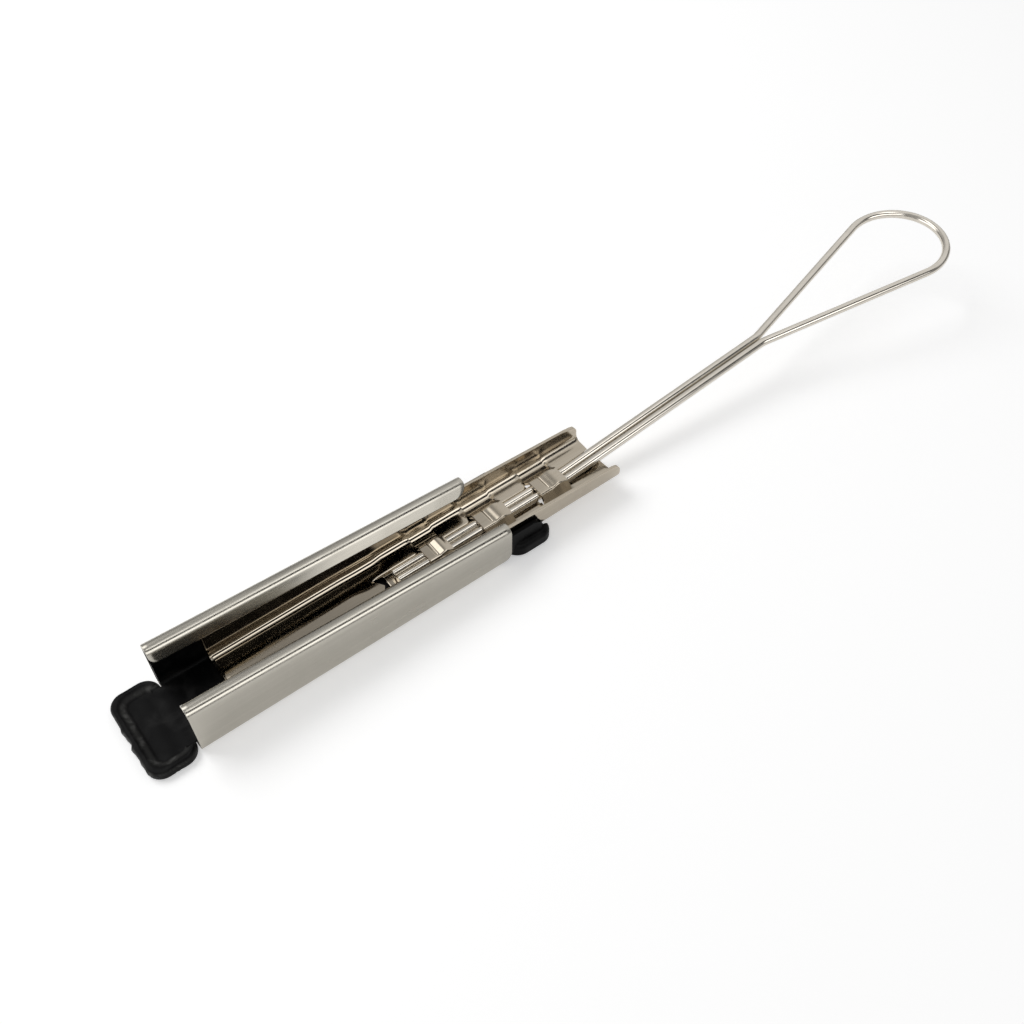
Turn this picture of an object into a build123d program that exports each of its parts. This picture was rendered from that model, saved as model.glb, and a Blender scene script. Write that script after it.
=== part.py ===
"""Drop cable clamp: folded shell, sliding wedge, bail wire and moulded liner.

Millimetres, +Z up. +X runs from the cable entry end towards the bail loop.
The origin is the middle of the shell's underside.
"""

import math
import os

from build123d import *

# shell, one folded sheet
shell_length = 86.0
shell_width = 23.2
shell_height_entry = 16.5
shell_height_exit = 12.8
shell_sheet = 0.8
shell_fold_radius = 2.6
lip_reach = 4.9
lip_roll_radius = 2.0
lip_slope = 65.0
lip_corner_entry = 1.8
lip_corner_exit = 3.6
wall_corner_exit = 5.0

# liner, one moulding
liner_side_clearance = 0.15
liner_end_clearance = 0.15
liner_wall = 1.1
liner_floor = 0.7
liner_height = 9.3
liner_fold_radius = 2.0
liner_inner_radius = 1.0
tab_reach = 12.0
tab_width = 24.8
tab_thickness = 2.4
tab_corner = 3.8
tab_rim = 1.3
tab_slope_run = 2.0
tab_edge_radius = 0.9
tab_base_radius = 0.6
foot_reach = 13.2
foot_width = 24.2
foot_height = 4.6
foot_corner = 3.2
foot_edge_radius = 1.6
foot_base_radius = 1.2
foot_root_corner = 4.4
foot_wall_reach = 10.2
foot_wall_corner = 2.4

# wedge, one pressed channel
wedge_side_clearance = 0.3
wedge_floor_clearance = 0.22
wedge_inset = 12.2
wedge_length = 111.4
wedge_tilt = 0.8
wedge_sheet = 0.8
wedge_inner_radius = 2.2
wedge_seat_gap = 1.3
wedge_top_fall = 0.03
wedge_end_corner = 2.4

# bail wire
wire_diameter = 2.4
wire_leg_gap = 0.1
bail_rise = 6.9
bail_bend_radius = 16.0
bail_straight = 72.4
fork_half_angle = 13.1
fork_bend_radius = 12.0
loop_radius = 14.3

# straps lanced from the wedge floor
strap_setbacks = (55.9, 39.5, 21.2)
strap_lengths = (6.9, 8.8, 8.8)
strap_sheet = 0.8
strap_root_half = 5.5
strap_top_half = 2.75
strap_crown = 0.38
strap_crease_depth = 0.25
strap_crease_width = 0.5
strap_crease_place = 0.34
lance_gap = 0.3
wire_fit = 0.05
saddle_drop = 0.7
saddle_half = 2.85
saddle_lead = 10.9
saddle_tail = 8.6
wire_lead = 8.9
window_length = 3.0
tongue_place = 4.2
tongue_length = 2.6
tongue_width = 1.1
tongue_height = 0.5

# values that follow from the sizes above
entry_x = -shell_length / 2
exit_x = shell_length / 2
shell_half = shell_width / 2
lip_angle = math.radians(lip_slope)
lip_edge_y = shell_half - lip_reach
lip_taper = (shell_height_entry - shell_height_exit) / shell_length
liner_outer_half = shell_half - shell_sheet - liner_side_clearance
liner_inner_half = liner_outer_half - liner_wall
liner_floor_top = shell_sheet + liner_floor
wedge_half = liner_inner_half - wedge_side_clearance
wedge_outer_radius = wedge_inner_radius + wedge_sheet
wedge_x = entry_x + wedge_inset
wedge_angle = math.radians(wedge_tilt)
wedge_z = liner_floor_top + wedge_floor_clearance + wedge_sheet
wire_radius = wire_diameter / 2
leg_y = wire_radius + wire_leg_gap / 2
wire_axis = wire_radius + wire_fit - saddle_drop
strap_under = wire_axis + wire_radius + wire_fit
strap_top = strap_under + strap_sheet
strap_places = [wedge_length - setback for setback in strap_setbacks]
strap_start = strap_places[0]
strap_end = strap_places[-1] + strap_lengths[-1]


def along(u, w):
    """Place a point of the wedge's own length and height in the part's X and Z."""
    x = wedge_x + u * math.cos(wedge_angle) - w * math.sin(wedge_angle)
    z = wedge_z + u * math.sin(wedge_angle) + w * math.cos(wedge_angle)
    return x, z


def across(u):
    """Plane square to the wedge at a distance along it: local x is +Y, local y is up."""
    x, z = along(u, 0)
    direction = (math.cos(wedge_angle), 0, math.sin(wedge_angle))
    return Plane(origin=(x, 0, z), x_dir=(0, 1, 0), z_dir=direction)


def beside():
    """Plane down the middle of the wedge: local x is its length, local y is up."""
    x, z = along(0, 0)
    direction = (math.cos(wedge_angle), 0, math.sin(wedge_angle))
    return Plane(origin=(x, 0, z), x_dir=direction, z_dir=(0, -1, 0))


def over(w):
    """Plane along the wedge's floor at a height: local x is its length, local y is +Y."""
    x, z = along(0, w)
    direction = (math.cos(wedge_angle), 0, math.sin(wedge_angle))
    upward = (-math.sin(wedge_angle), 0, math.cos(wedge_angle))
    return Plane(origin=(x, 0, z), x_dir=direction, z_dir=upward)


def lip_underside(x):
    """Height of the flat under the rolled lip, above the wedge's wall, at one station."""
    return shell_height_entry - lip_taper * (x - entry_x) - shell_sheet


def wall_top(x):
    """Height of the wedge's wall at one station, measured from under the lip at the exit."""
    return lip_underside(exit_x) - wedge_seat_gap - wedge_top_fall * (x - exit_x)


def corner_cutter(plane, corner, turn, radius, spare):
    """Face that rounds one corner when it is cut away.

    The corner is given in the plane; turn gives the way into the material.
    """
    cx, cy = corner
    dx, dy = turn
    middle = radius * (1 - math.sqrt(0.5))
    with BuildSketch(plane) as cutter:
        with BuildLine():
            Line((cx - dx * spare, cy - dy * spare), (cx + dx * radius, cy - dy * spare))
            Line((cx + dx * radius, cy - dy * spare), (cx + dx * radius, cy))
            ThreePointArc(
                (cx + dx * radius, cy),
                (cx + dx * middle, cy + dy * middle),
                (cx, cy + dy * radius),
            )
            Line((cx, cy + dy * radius), (cx - dx * spare, cy + dy * radius))
            Line((cx - dx * spare, cy + dy * radius), (cx - dx * spare, cy - dy * spare))
        make_face()
    return cutter.sketch


# shell
roll_y = shell_half - lip_roll_radius
roll_z = shell_height_entry - lip_roll_radius
roll_end_z = shell_height_exit - lip_roll_radius
inner_roll = lip_roll_radius - shell_sheet
inner_fold = shell_fold_radius - shell_sheet
fold_y = shell_half - shell_fold_radius
lip_out_y = roll_y - lip_roll_radius * math.sin(lip_angle)
lip_out_z = lip_roll_radius * math.cos(lip_angle)
lip_in_y = roll_y - inner_roll * math.sin(lip_angle)
lip_in_z = inner_roll * math.cos(lip_angle)
lip_edge_z = lip_out_z - (lip_out_y - lip_edge_y) * math.tan(lip_angle)
lip_under_y = lip_edge_y + shell_sheet * math.sin(lip_angle)
lip_under_z = lip_edge_z - shell_sheet * math.cos(lip_angle)
lip_spare = lip_roll_radius
lip_plane = Plane(
    origin=(entry_x - lip_spare, 0, roll_z + lip_taper * lip_spare),
    x_dir=(0, 1, 0),
    z_dir=(1, 0, -lip_taper),
)
lip_run = (shell_length + 2 * lip_spare) * math.hypot(1, lip_taper)


def lip_corner_plane(end_x, side):
    """Plane of a lip's flat at one end: the origin is on the lip's edge, local y runs into the lip."""
    run = Vector(1, 0, -lip_taper).normalized()
    rise = Vector(lip_taper, 0, 1).normalized()
    inward = Vector(0, side * math.cos(lip_angle), 0) + rise * math.sin(lip_angle)
    edge_z = roll_z + lip_edge_z - lip_taper * (end_x - entry_x)
    return Plane(origin=(end_x, side * lip_edge_y, edge_z), x_dir=run, z_dir=run.cross(inward))


with BuildPart() as shell:
    with BuildSketch(Plane.YZ.offset(entry_x)):
        with BuildLine():
            Line((0, 0), (fold_y, 0))
            CenterArc((fold_y, shell_fold_radius), shell_fold_radius, -90, 90)
            Line((shell_half, shell_fold_radius), (shell_half, roll_z))
            Line((shell_half, roll_z), (shell_half - shell_sheet, roll_z))
            Line((shell_half - shell_sheet, roll_z), (shell_half - shell_sheet, shell_fold_radius))
            CenterArc((fold_y, shell_fold_radius), inner_fold, 0, -90)
            Line((fold_y, shell_sheet), (0, shell_sheet))
            mirror(about=Plane.YZ)
        make_face()
    extrude(amount=shell_length)
    with BuildSketch(Plane.XZ):
        with BuildLine():
            Polyline(
                (entry_x, roll_z),
                (exit_x, roll_end_z),
                (exit_x, shell_height_entry),
                (entry_x, shell_height_entry),
                close=True,
            )
        make_face()
    extrude(amount=shell_width, both=True, mode=Mode.SUBTRACT)
    with BuildSketch(lip_plane):
        with BuildLine():
            CenterArc((roll_y, 0), lip_roll_radius, 0, 90 + lip_slope)
            Line((lip_out_y, lip_out_z), (lip_edge_y, lip_edge_z))
            Line((lip_edge_y, lip_edge_z), (lip_under_y, lip_under_z))
            Line((lip_under_y, lip_under_z), (lip_in_y, lip_in_z))
            CenterArc((roll_y, 0), inner_roll, 90 + lip_slope, -90 - lip_slope)
            Line((shell_half - shell_sheet, 0), (shell_half, 0))
        make_face()
        mirror(about=Plane.YZ)
    extrude(amount=lip_run)
    for end_x, way in ((entry_x, -1), (exit_x, 1)):
        with BuildSketch(Plane.YZ.offset(end_x)):
            Rectangle(2 * shell_width, 4 * shell_height_entry)
        extrude(amount=way * 3 * lip_spare, mode=Mode.SUBTRACT)
    for side in (1, -1):
        extrude(
            corner_cutter(lip_corner_plane(entry_x, side), (0, 0), (1, 1), lip_corner_entry, 1.0),
            amount=2 * shell_sheet,
            both=True,
            mode=Mode.SUBTRACT,
        )
        extrude(
            corner_cutter(lip_corner_plane(exit_x, side), (0, 0), (-1, 1), lip_corner_exit, 1.0),
            amount=2 * shell_sheet,
            both=True,
            mode=Mode.SUBTRACT,
        )
    extrude(
        corner_cutter(Plane.XZ, (exit_x, 0), (-1, 1), wall_corner_exit, 1.0),
        amount=shell_width,
        both=True,
        mode=Mode.SUBTRACT,
    )

# liner
tab_x0 = entry_x - tab_reach
tab_x1 = entry_x - liner_end_clearance
foot_x0 = exit_x + liner_end_clearance
foot_x1 = exit_x + foot_reach
wall_x1 = exit_x + foot_wall_reach
body_x0 = entry_x + liner_end_clearance
with BuildPart() as liner:
    with BuildSketch() as tab_plan:
        with Locations(((tab_x0 + tab_x1) / 2, 0)):
            Rectangle(tab_x1 - tab_x0, tab_width)
        fillet(tab_plan.vertices(), radius=tab_corner)
    extrude(amount=tab_thickness)
    tab_top = liner.faces().sort_by(Axis.Z)[-1]
    fillet(tab_top.edges(), radius=tab_edge_radius)
    tab_base = liner.faces().sort_by(Axis.Z)[0]
    fillet(tab_base.edges(), radius=tab_base_radius)
    with BuildSketch() as foot_plan:
        with Locations(((foot_x0 + foot_x1) / 2, 0)):
            Rectangle(foot_x1 - foot_x0, foot_width)
        fillet(foot_plan.vertices().sort_by(Axis.X)[-2:], radius=foot_corner)
        fillet(foot_plan.vertices().sort_by(Axis.X)[:2], radius=foot_root_corner)
    extrude(amount=foot_height)
    foot_top = liner.faces().sort_by(Axis.Z)[-1]
    fillet(foot_top.edges(), radius=foot_edge_radius)
    foot_base = liner.faces().filter_by(Plane.XY).group_by(Axis.Z)[0].sort_by(Axis.X)[-1]
    fillet(foot_base.edges(), radius=foot_base_radius)
    with BuildSketch(Plane.YZ.offset(body_x0)) as body_section:
        with Locations((0, (shell_sheet + liner_height) / 2)):
            Rectangle(2 * liner_outer_half, liner_height - shell_sheet)
        fillet(body_section.vertices().sort_by(Axis.Y)[:2], radius=liner_fold_radius)
    extrude(amount=wall_x1 - body_x0)
    with BuildSketch(Plane.XY.offset(shell_sheet)):
        with Locations(((tab_x0 + entry_x) / 2 + tab_rim, 0)):
            Rectangle(tab_reach, 2 * (liner_outer_half - liner_fold_radius))
    extrude(amount=liner_floor)
    with BuildSketch(Plane.XY.offset(shell_sheet)):
        with Locations(((exit_x + foot_x1) / 2 - foot_corner, 0)):
            Rectangle(foot_reach, 2 * (liner_outer_half - liner_fold_radius))
    extrude(amount=liner_floor)
    channel_x0 = tab_x1 - tab_slope_run - 0.3
    with BuildSketch(Plane.YZ.offset(channel_x0)) as channel_section:
        with Locations((0, (liner_floor_top + liner_height + 1) / 2)):
            Rectangle(2 * liner_inner_half, liner_height + 1 - liner_floor_top)
        fillet(channel_section.vertices().sort_by(Axis.Y)[:2], radius=liner_inner_radius)
    extrude(amount=foot_x1 + 3 - channel_x0, mode=Mode.SUBTRACT)
    dish_x0 = tab_x0 + tab_rim + tab_slope_run
    dish_x1 = tab_x1 - tab_slope_run
    dish_depth = tab_thickness - liner_floor_top
    dish_taper = math.degrees(math.atan2(tab_slope_run, dish_depth))
    with BuildSketch(Plane.XY.offset(liner_floor_top)) as dish_plan:
        with Locations(((dish_x0 + dish_x1) / 2, 0)):
            Rectangle(dish_x1 - dish_x0, tab_width - 2 * (tab_rim + tab_slope_run))
        fillet(dish_plan.vertices(), radius=tab_corner * 0.5)
    extrude(amount=dish_depth, taper=-dish_taper, mode=Mode.SUBTRACT)
    extrude(
        corner_cutter(Plane.XZ, (wall_x1, liner_height), (-1, -1), foot_wall_corner, 1.0),
        amount=shell_width,
        both=True,
        mode=Mode.SUBTRACT,
    )

# wedge
flat_half = wedge_half - wedge_outer_radius
wall_y = wedge_half - wedge_sheet
wedge_end_x, wedge_end_z = along(wedge_length, 0)
trim_x0 = wedge_x - 3
trim_x1 = wedge_end_x + 3
trim_high = shell_height_entry * 2
wall_top_end = wall_top(wedge_end_x) - wedge_end_z
wall_top_end = wall_top_end / (math.cos(wedge_angle) - wedge_top_fall * math.sin(wedge_angle))
band_start = strap_start - saddle_lead
band_end = strap_end + saddle_tail
band_half = strap_root_half - 0.4
band_join = strap_root_half + 0.5
strap_lean = math.hypot(strap_root_half - strap_top_half, strap_top)
lean_y = strap_sheet * strap_top / strap_lean
lean_w = strap_sheet * (strap_root_half - strap_top_half) / strap_lean
lean_step = (strap_root_half - strap_top_half) / strap_top
strap_inner_root = strap_root_half - lean_y + (strap_sheet - lean_w) * lean_step
strap_inner_top = strap_root_half - lean_y - (strap_under + lean_w) * lean_step
saddle_spans = [(band_start, strap_start - lance_gap)]
for number in range(len(strap_places) - 1):
    span_start = strap_places[number] + strap_lengths[number] + lance_gap
    span_end = strap_places[number + 1] - lance_gap
    saddle_spans.append((span_start, span_end))
saddle_spans.append((strap_end + lance_gap, band_end))
saddle_slope = 0.2
with BuildPart() as wedge:
    with BuildSketch(across(0)):
        with BuildLine():
            Line((0, 0), (flat_half, 0))
            CenterArc((flat_half, wedge_inner_radius), wedge_inner_radius, -90, 90)
            Line((wall_y, wedge_inner_radius), (wall_y, shell_height_entry))
            Line((wall_y, shell_height_entry), (wedge_half, shell_height_entry))
            Line((wedge_half, shell_height_entry), (wedge_half, wedge_inner_radius))
            CenterArc((flat_half, wedge_inner_radius), wedge_outer_radius, 0, -90)
            Line((flat_half, -wedge_sheet), (0, -wedge_sheet))
            mirror(about=Plane.YZ)
        make_face()
    extrude(amount=wedge_length)
    with BuildSketch(Plane.XZ):
        with BuildLine():
            Polyline(
                (trim_x0, wall_top(trim_x0)),
                (trim_x1, wall_top(trim_x1)),
                (trim_x1, trim_high),
                (trim_x0, trim_high),
                close=True,
            )
        make_face()
    extrude(amount=shell_width, both=True, mode=Mode.SUBTRACT)
    extrude(
        corner_cutter(beside(), (wedge_length, wall_top_end), (-1, -1), wedge_end_corner, 1.0),
        amount=shell_width,
        both=True,
        mode=Mode.SUBTRACT,
    )
    with BuildSketch(over(-2 * wedge_sheet)):
        with Locations(((band_start + band_end) / 2, 0)):
            Rectangle(band_end - band_start, 2 * band_half)
    extrude(amount=3 * wedge_sheet, mode=Mode.SUBTRACT)
    for span_start, span_end in saddle_spans:
        with BuildSketch(across(span_start)):
            with BuildLine():
                Polyline(
                    (0, -saddle_drop),
                    (saddle_half, -saddle_drop),
                    (saddle_half + saddle_slope, 0),
                    (band_join, 0),
                    (band_join, -wedge_sheet),
                    (saddle_half + saddle_slope + 0.6, -wedge_sheet),
                    (saddle_half + 0.6, -wedge_sheet - saddle_drop),
                    (0, -wedge_sheet - saddle_drop),
                )
                mirror(about=Plane.YZ)
            make_face()
        extrude(amount=span_end - span_start)
    for place, strap_length in zip(strap_places, strap_lengths):
        with BuildSketch(across(place)) as strap_section:
            with BuildLine():
                Polyline(
                    (0, strap_top),
                    (strap_top_half, strap_top),
                    (strap_root_half, 0),
                    (band_join, 0),
                    (band_join, -wedge_sheet),
                    (strap_inner_root, -wedge_sheet),
                    (strap_inner_top, strap_under),
                    (0, strap_under),
                )
                mirror(about=Plane.YZ)
            make_face()
        extrude(amount=strap_length)
        crease = place + strap_crease_place * strap_length
        crown_start = crease + strap_crease_width / 2
        crown_end = place + strap_length - 0.5
        with BuildSketch(beside()):
            with BuildLine():
                Line((crown_start, strap_top - 0.2), (crown_start, strap_top))
                ThreePointArc(
                    (crown_start, strap_top),
                    ((crown_start + crown_end) / 2, strap_top + strap_crown),
                    (crown_end, strap_top),
                )
                Line((crown_end, strap_top), (crown_end, strap_top - 0.2))
                Line((crown_end, strap_top - 0.2), (crown_start, strap_top - 0.2))
            make_face()
        extrude(amount=strap_top_half, both=True)
        with BuildSketch(beside()):
            with BuildLine():
                Polyline(
                    (crease - strap_crease_width / 2, strap_top + 0.1),
                    (crease, strap_top - strap_crease_depth),
                    (crease + strap_crease_width / 2, strap_top + 0.1),
                    close=True,
                )
            make_face()
        extrude(amount=strap_root_half, both=True, mode=Mode.SUBTRACT)
    with BuildSketch(over(-2 * wedge_sheet)):
        with BuildLine():
            Polyline(
                (band_start + 0.01, -saddle_half),
                (band_start - window_length, -saddle_half),
                (band_start - window_length * 0.4, 0),
                (band_start - window_length, saddle_half),
                (band_start + 0.01, saddle_half),
                close=True,
            )
        make_face()
    extrude(amount=3 * wedge_sheet, mode=Mode.SUBTRACT)
    with BuildSketch(over(-2 * wedge_sheet)):
        with Locations((tongue_place + tongue_length / 2, -tongue_width)):
            Rectangle(tongue_length, tongue_width)
    extrude(amount=3 * wedge_sheet, mode=Mode.SUBTRACT)
    with BuildSketch(beside()):
        with BuildLine():
            Polyline(
                (tongue_place + tongue_length + 0.4, -wedge_sheet * 0.6),
                (tongue_place + tongue_length + 0.4, 0),
                (tongue_place + 0.5, tongue_height),
                (tongue_place + 0.5, tongue_height - wedge_sheet * 0.6),
                close=True,
            )
        make_face()
    extrude(amount=tongue_width * 0.35, both=True)

# bail wire
bail_angle = math.radians(bail_rise)
fork_angle = math.radians(fork_half_angle)
bend_reach = bail_bend_radius * math.tan((bail_angle - wedge_angle) / 2)
bend_u = strap_end + lance_gap + bend_reach
bend_x, bend_z = along(bend_u, wire_axis)
leg_x, leg_z = along(strap_start - wire_lead, wire_axis)
leg_way = Vector(math.cos(wedge_angle), 0, math.sin(wedge_angle))
bail_way = Vector(math.cos(bail_angle), 0, math.sin(bail_angle))
side_way = Vector(0, 1, 0)
loop_centre = bail_straight + (loop_radius / math.cos(fork_angle) - leg_y) / math.tan(fork_angle)


def bend(corner, way_in, way_out, radius):
    """Start, middle and end of the round bend between two straight runs."""
    turn = math.acos(max(-1.0, min(1.0, way_in.dot(way_out))))
    reach = radius * math.tan(turn / 2)
    inward = (way_out - way_in).normalized()
    middle = corner + inward * (radius / math.cos(turn / 2) - radius)
    return corner - way_in * reach, middle, corner + way_out * reach


def bail_point(distance, offset):
    """Point of the bail's plane, measured along it from the bend and sideways."""
    return Vector(bend_x, 0, bend_z) + bail_way * distance + side_way * offset


half_paths = []
for side in (1, -1):
    fork_way = bail_way * math.cos(fork_angle) + side_way * (side * math.sin(fork_angle))
    leg_end = Vector(leg_x, side * leg_y, leg_z)
    first = bend(Vector(bend_x, side * leg_y, bend_z), leg_way, bail_way, bail_bend_radius)
    second = bend(bail_point(bail_straight, side * leg_y), bail_way, fork_way, fork_bend_radius)
    meet = bail_point(
        loop_centre - loop_radius * math.sin(fork_angle), side * loop_radius * math.cos(fork_angle)
    )
    half_paths.append((leg_end, first, second, meet))
with BuildPart() as bail_wire:
    with BuildLine() as wire_path:
        for leg_end, first, second, meet in half_paths:
            Line(leg_end, first[0])
            ThreePointArc(first[0], first[1], first[2])
            Line(first[2], second[0])
            ThreePointArc(second[0], second[1], second[2])
            Line(second[2], meet)
        ThreePointArc(half_paths[0][3], bail_point(loop_centre + loop_radius, 0), half_paths[1][3])
    with BuildSketch(Plane(origin=half_paths[0][0], z_dir=leg_way)):
        Circle(wire_radius)
    sweep()

os.makedirs("parts", exist_ok=True)
shell.part.label = "shell"
liner.part.label = "liner"
wedge.part.label = "wedge"
bail_wire.part.label = "bail_wire"
export_step(shell.part, "parts/shell.step")
export_step(liner.part, "parts/liner.step")
export_step(wedge.part, "parts/wedge.step")
export_step(bail_wire.part, "parts/bail_wire.step")
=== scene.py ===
"""Dressed scene of a drop cable clamp: folded shell, moulded liner, sliding wedge and bail wire.

Sizes of the clamp's classes are in millimetres and angles in degrees; meshes are in metres.
+X runs from the cable entry to the bail loop.
"""

import logging
import math
from dataclasses import dataclass
from enum import Enum
from typing import Sequence

import bmesh
import bpy
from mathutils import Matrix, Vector


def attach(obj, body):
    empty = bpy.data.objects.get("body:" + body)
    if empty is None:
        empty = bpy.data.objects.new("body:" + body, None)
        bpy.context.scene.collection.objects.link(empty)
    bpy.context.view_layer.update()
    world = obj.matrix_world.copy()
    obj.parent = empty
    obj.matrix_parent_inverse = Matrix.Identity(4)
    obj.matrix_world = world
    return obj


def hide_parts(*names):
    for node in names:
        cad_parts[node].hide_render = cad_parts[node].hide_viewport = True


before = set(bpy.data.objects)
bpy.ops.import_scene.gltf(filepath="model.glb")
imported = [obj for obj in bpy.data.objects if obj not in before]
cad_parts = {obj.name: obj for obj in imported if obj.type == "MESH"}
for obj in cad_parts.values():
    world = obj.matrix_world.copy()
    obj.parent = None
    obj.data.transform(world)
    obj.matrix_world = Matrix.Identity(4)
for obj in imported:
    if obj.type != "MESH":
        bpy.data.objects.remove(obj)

LOG = logging.getLogger("clamp")
MM = 0.001
# Points closer than WELD metres become one, and edges shorter than SLIVER metres are dissolved.
WELD = 2e-6
SLIVER = 3e-5
# Two stations along the wedge count as one when they differ by less than this many millimetres.
SAME = 1e-6
EDGE_STEPS = 2
SHADE_WEIGHT = 60
Point = tuple[float, float, float]
Colour = tuple[float, float, float]


class Body(Enum):
    """The two rigid bodies of the clamp."""

    HOUSING = "housing"
    SLIDER = "slider"


class Slot(Enum):
    """The record's material slots."""

    SHELL = "shell_steel"
    WEDGE = "wedge_steel"
    WIRE = "wire_steel"
    LINER = "liner_black"


class Effect(Enum):
    """Surface effects that the finishes are made of."""

    GRAIN = "drawn_grain"
    MARKS = "handling_marks"
    SPECKLE = "fine_speckle"


def ease(value: float) -> float:
    """Smooth step from 0 to 1.

    Args:
        value: position, clamped to 0..1.

    Returns:
        The eased position.
    """
    value = min(1.0, max(0.0, value))
    return value * value * (3.0 - 2.0 * value)


def spread(start: float, end: float, count: int) -> list[float]:
    """Evenly spaced values from start to end, both included.

    Args:
        start: first value.
        end: last value.
        count: number of steps between them.

    Returns:
        count + 1 values.
    """
    return [start + (end - start) * step / count for step in range(count + 1)]


def arc(start: float, end: float, count: int) -> list[tuple[float, float]]:
    """Cosine and sine of evenly spaced angles.

    Args:
        start: first angle in degrees.
        end: last angle in degrees.
        count: number of steps between them.

    Returns:
        count + 1 pairs.
    """
    angles = [math.radians(angle) for angle in spread(start, end, count)]
    return [(math.cos(angle), math.sin(angle)) for angle in angles]


def rounding(inset: float, radius: float) -> float:
    """How far a rounded corner sets the end of a sheet back.

    Args:
        inset: distance from the sheet's side.
        radius: the corner's radius.

    Returns:
        The distance, 0 beyond the corner.
    """
    if inset >= radius:
        return 0.0
    return radius - math.sqrt(max(0.0, 2 * radius * inset - inset**2))


def link(name: str, data: bpy.types.ID) -> bpy.types.Object:
    """Put an object into the scene, at the origin.

    Args:
        name: the object's name.
        data: its mesh, curve, lamp or camera.

    Returns:
        The object.
    """
    holder = bpy.data.objects.new(name, data)
    bpy.context.scene.collection.objects.link(holder)
    return holder


def smooth_object(form: bmesh.types.BMesh, name: str) -> bpy.types.Object:
    """Turn a form into an object that is shaded smooth.

    Args:
        form: the form, which is freed.
        name: the object's name.

    Returns:
        The linked object.
    """
    for face in form.faces:
        face.smooth = True
    data = bpy.data.meshes.new(name)
    form.to_mesh(data)
    form.free()
    return link(name, data)


class SheetMesh:
    """Open sheet made of patches of quads that are welded along their shared edges."""

    def __init__(self) -> None:
        """Start with no patches."""
        self.mesh = bmesh.new()

    def patch(self, rows: Sequence[Sequence[Point]], flip: bool = False) -> None:
        """Add a grid of quads.

        Args:
            rows: rows of points in millimetres, all of one length.
            flip: turn the faces to the other side.
        """
        grid = [[self.mesh.verts.new(Vector(point) * MM) for point in row] for row in rows]
        for low, high in zip(grid, grid[1:]):
            for index in range(len(low) - 1):
                corners = [low[index], high[index], high[index + 1], low[index + 1]]
                self.mesh.faces.new(corners[::-1] if flip else corners)

    def finish(self, name: str) -> bpy.types.Object:
        """Weld the patches and link the sheet as an object.

        Args:
            name: the object's name.

        Returns:
            The linked object, at the origin, shaded smooth.
        """
        bmesh.ops.remove_doubles(self.mesh, verts=self.mesh.verts, dist=WELD)
        return smooth_object(self.mesh, name)


def thicken(piece: bpy.types.Object, sheet: float, edge: float) -> None:
    """Give an open sheet its gauge and break its edges.

    Args:
        piece: the open sheet, with its faces on the dressed side.
        sheet: gauge in millimetres.
        edge: width of the broken edge in millimetres.
    """
    wall = piece.modifiers.new("gauge", "SOLIDIFY")
    wall.thickness = sheet * MM
    wall.offset = -1.0
    wall.use_even_offset = True
    wall.use_quality_normals = True
    soften(piece, edge)


def soften(piece: bpy.types.Object, edge: float, angle: float = 50.0) -> None:
    """Break the sharp edges of a piece and even out its shading.

    Args:
        piece: the piece.
        edge: width of the broken edge in millimetres.
        angle: edges sharper than this many degrees are broken.
    """
    break_edge = piece.modifiers.new("edge_break", "BEVEL")
    break_edge.width = edge * MM
    break_edge.segments = EDGE_STEPS
    break_edge.limit_method = "ANGLE"
    break_edge.angle_limit = math.radians(angle)
    break_edge.use_clamp_overlap = True
    shade = piece.modifiers.new("even_shade", "WEIGHTED_NORMAL")
    shade.keep_sharp = False
    shade.weight = SHADE_WEIGHT


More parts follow.
